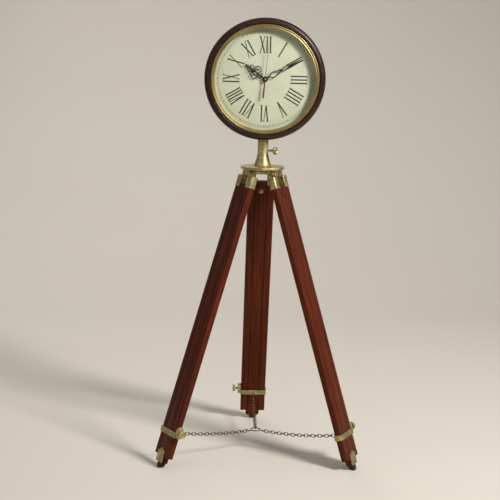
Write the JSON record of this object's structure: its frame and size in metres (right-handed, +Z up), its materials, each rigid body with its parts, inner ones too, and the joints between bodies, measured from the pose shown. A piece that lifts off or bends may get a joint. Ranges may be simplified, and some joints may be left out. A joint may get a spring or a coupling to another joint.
{
  "type": "floor clock",
  "caption": "Round wooden floor clock with a brass bezel and openwork hands, swivelling on a brass head over a folding wooden tripod with sliding leg strips, clamps and joining chains.",
  "frame": {"origin": "middle of the bounding box's base, on the floor the three tips stand on", "axes": "+Z up; -Y is the way the dial faces; +X is to the right of someone who looks at the dial"},
  "size_m": [0.5216, 0.4706, 1.1295],
  "materials": {
    "brass": "aged brass, softly polished, slightly greenish",
    "case_wood": "dark purplish-brown hardwood, semi-gloss varnish",
    "leg_wood": "reddish-brown hardwood, satin varnish",
    "dark_steel": "darkened steel",
    "glass": "clear flat glass",
    "dial_paint": "cream paint with a black printed chapter ring",
    "black_plastic": "moulded black plastic",
    "cell_steel": "plain bare steel jacket",
    "black_paint": "black lacquered brass",
    "red_paint": "dark red lacquer",
    "black_iron": "black painted iron"
  },
  "bodies": {
    "head": {"head_plate": "brass", "neck_socket": "brass", "neck_nut": "dark_steel"},
    "neck_screw": {"neck_thumb_screw": "brass"},
    "clock": {"case_ring": "case_wood", "bezel": "brass", "glass": "glass", "dial": "dial_paint", "back_board": "case_wood", "clock_stem": "brass", "stem_nut": "dark_steel", "quartz_movement": "black_plastic", "dial_nut": "brass", "battery": "cell_steel"},
    "set_knob": {"set_knob": "black_plastic"},
    "hour": {"hour_hand": "black_paint"},
    "minute": {"minute_hand": "black_paint"},
    "second": {"second_hand": "red_paint"},
    "back_leg": {"back_leg_rail_left": "leg_wood", "back_leg_rail_right": "leg_wood", "back_leg_ferrule_left": "brass", "back_leg_ferrule_right": "brass", "back_leg_hinge_bolt": "dark_steel", "back_leg_hinge_nut": "dark_steel", "back_leg_spacer": "leg_wood", "back_leg_clamp_band": "brass"},
    "back_leg_screw": {"back_leg_clamp_screw": "brass"},
    "back_leg_foot": {"back_leg_inner_strip": "leg_wood", "back_leg_shoe": "brass", "back_leg_tip": "black_iron"},
    "back_chain": {"back_leg_chain": "brass", "chain_ring": "brass"},
    "left_leg": {"left_leg_rail_left": "leg_wood", "left_leg_rail_right": "leg_wood", "left_leg_ferrule_left": "brass", "left_leg_ferrule_right": "brass", "left_leg_hinge_bolt": "dark_steel", "left_leg_hinge_nut": "dark_steel", "left_leg_spacer": "leg_wood", "left_leg_clamp_band": "brass"},
    "left_leg_screw": {"left_leg_clamp_screw": "brass"},
    "left_leg_foot": {"left_leg_inner_strip": "leg_wood", "left_leg_shoe": "brass", "left_leg_tip": "black_iron"},
    "left_chain": {"left_leg_chain": "brass"},
    "right_leg": {"right_leg_rail_left": "leg_wood", "right_leg_rail_right": "leg_wood", "right_leg_ferrule_left": "brass", "right_leg_ferrule_right": "brass", "right_leg_hinge_bolt": "dark_steel", "right_leg_hinge_nut": "dark_steel", "right_leg_spacer": "leg_wood", "right_leg_clamp_band": "brass"},
    "right_leg_screw": {"right_leg_clamp_screw": "brass"},
    "right_leg_foot": {"right_leg_inner_strip": "leg_wood", "right_leg_shoe": "brass", "right_leg_tip": "black_iron"},
    "right_chain": {"right_leg_chain": "brass"}
  },
  "joints": [
    {"name": "clock_swivel", "type": "hinge", "parent": "head", "child": "clock", "pos_m": [0, -0.05512, 0.8], "axis": [0, 0, 1], "continuous": true},
    {"name": "neck_screw_turn", "type": "hinge", "parent": "head", "child": "neck_screw", "pos_m": [0, -0.05512, 0.798], "axis": [0.848, -0.5299, 0], "range_deg": [0, 720]},
    {"name": "minute_turn", "type": "hinge", "parent": "clock", "child": "minute", "pos_m": [0, -0.05512, 0.977], "axis": [0, 1, 0], "continuous": true},
    {"name": "hour_turn", "type": "hinge", "parent": "clock", "child": "hour", "pos_m": [0, -0.05512, 0.977], "axis": [0, 1, 0], "continuous": true},
    {"name": "second_turn", "type": "hinge", "parent": "clock", "child": "second", "pos_m": [0, -0.05512, 0.977], "axis": [0, 1, 0], "continuous": true},
    {"name": "set_knob_turn", "type": "hinge", "parent": "clock", "child": "set_knob", "pos_m": [0, -0.05512, 0.9885], "axis": [0, 1, 0], "continuous": true},
    {"name": "back_leg_fold", "type": "hinge", "parent": "head", "child": "back_leg", "pos_m": [0, -0.01532, 0.74], "axis": [-1, 0, 0], "range_deg": [0, 18.2]},
    {"name": "back_leg_extend", "type": "slide", "parent": "back_leg", "child": "back_leg_foot", "axis": [0, 0.3123, -0.95], "range_m": [0, 0.4]},
    {"name": "back_leg_clamp_turn", "type": "hinge", "parent": "back_leg", "child": "back_leg_screw", "pos_m": [0, 0.19667, 0.09524], "axis": [-1, 0, 0], "range_deg": [0, 720]},
    {"name": "back_chain_swing", "type": "hinge", "parent": "back_leg", "child": "back_chain", "pos_m": [0, 0.18518, 0.08278], "axis": [1, 0, 0], "range_deg": [0, 102]},
    {"name": "left_leg_fold", "type": "hinge", "parent": "head", "child": "left_leg", "pos_m": [-0.03447, -0.07502, 0.74], "axis": [0.5, -0.866, 0], "range_deg": [0, 18.2]},
    {"name": "left_leg_extend", "type": "slide", "parent": "left_leg", "child": "left_leg_foot", "axis": [-0.2705, -0.1562, -0.95], "range_m": [0, 0.4]},
    {"name": "left_leg_clamp_turn", "type": "hinge", "parent": "left_leg", "child": "left_leg_screw", "pos_m": [-0.21805, -0.18102, 0.09524], "axis": [0.5, -0.866, 0], "range_deg": [0, 720]},
    {"name": "left_chain_swing", "type": "hinge", "parent": "left_leg", "child": "left_chain", "pos_m": [-0.20811, -0.17527, 0.08278], "axis": [-0.5, 0.866, 0], "range_deg": [0, 102]},
    {"name": "right_leg_fold", "type": "hinge", "parent": "head", "child": "right_leg", "pos_m": [0.03447, -0.07502, 0.74], "axis": [0.5, 0.866, 0], "range_deg": [0, 18.2]},
    {"name": "right_leg_extend", "type": "slide", "parent": "right_leg", "child": "right_leg_foot", "axis": [0.2705, -0.1562, -0.95], "range_m": [0, 0.4]},
    {"name": "right_leg_clamp_turn", "type": "hinge", "parent": "right_leg", "child": "right_leg_screw", "pos_m": [0.21805, -0.18102, 0.09524], "axis": [0.5, 0.866, 0], "range_deg": [0, 720]},
    {"name": "right_chain_swing", "type": "hinge", "parent": "right_leg", "child": "right_chain", "pos_m": [0.20811, -0.17527, 0.08278], "axis": [-0.5, -0.866, 0], "range_deg": [0, 102]}
  ],
  "couplings": [
    {"joint": "hour_turn", "follows": "minute_turn", "ratio": 0.083333},
    {"joint": "set_knob_turn", "follows": "minute_turn", "ratio": -1},
    {"joint": "back_chain_swing", "follows": "back_leg_fold", "ratio": 5.3},
    {"joint": "left_chain_swing", "follows": "left_leg_fold", "ratio": 5.3},
    {"joint": "right_chain_swing", "follows": "right_leg_fold", "ratio": 5.3}
  ]
}
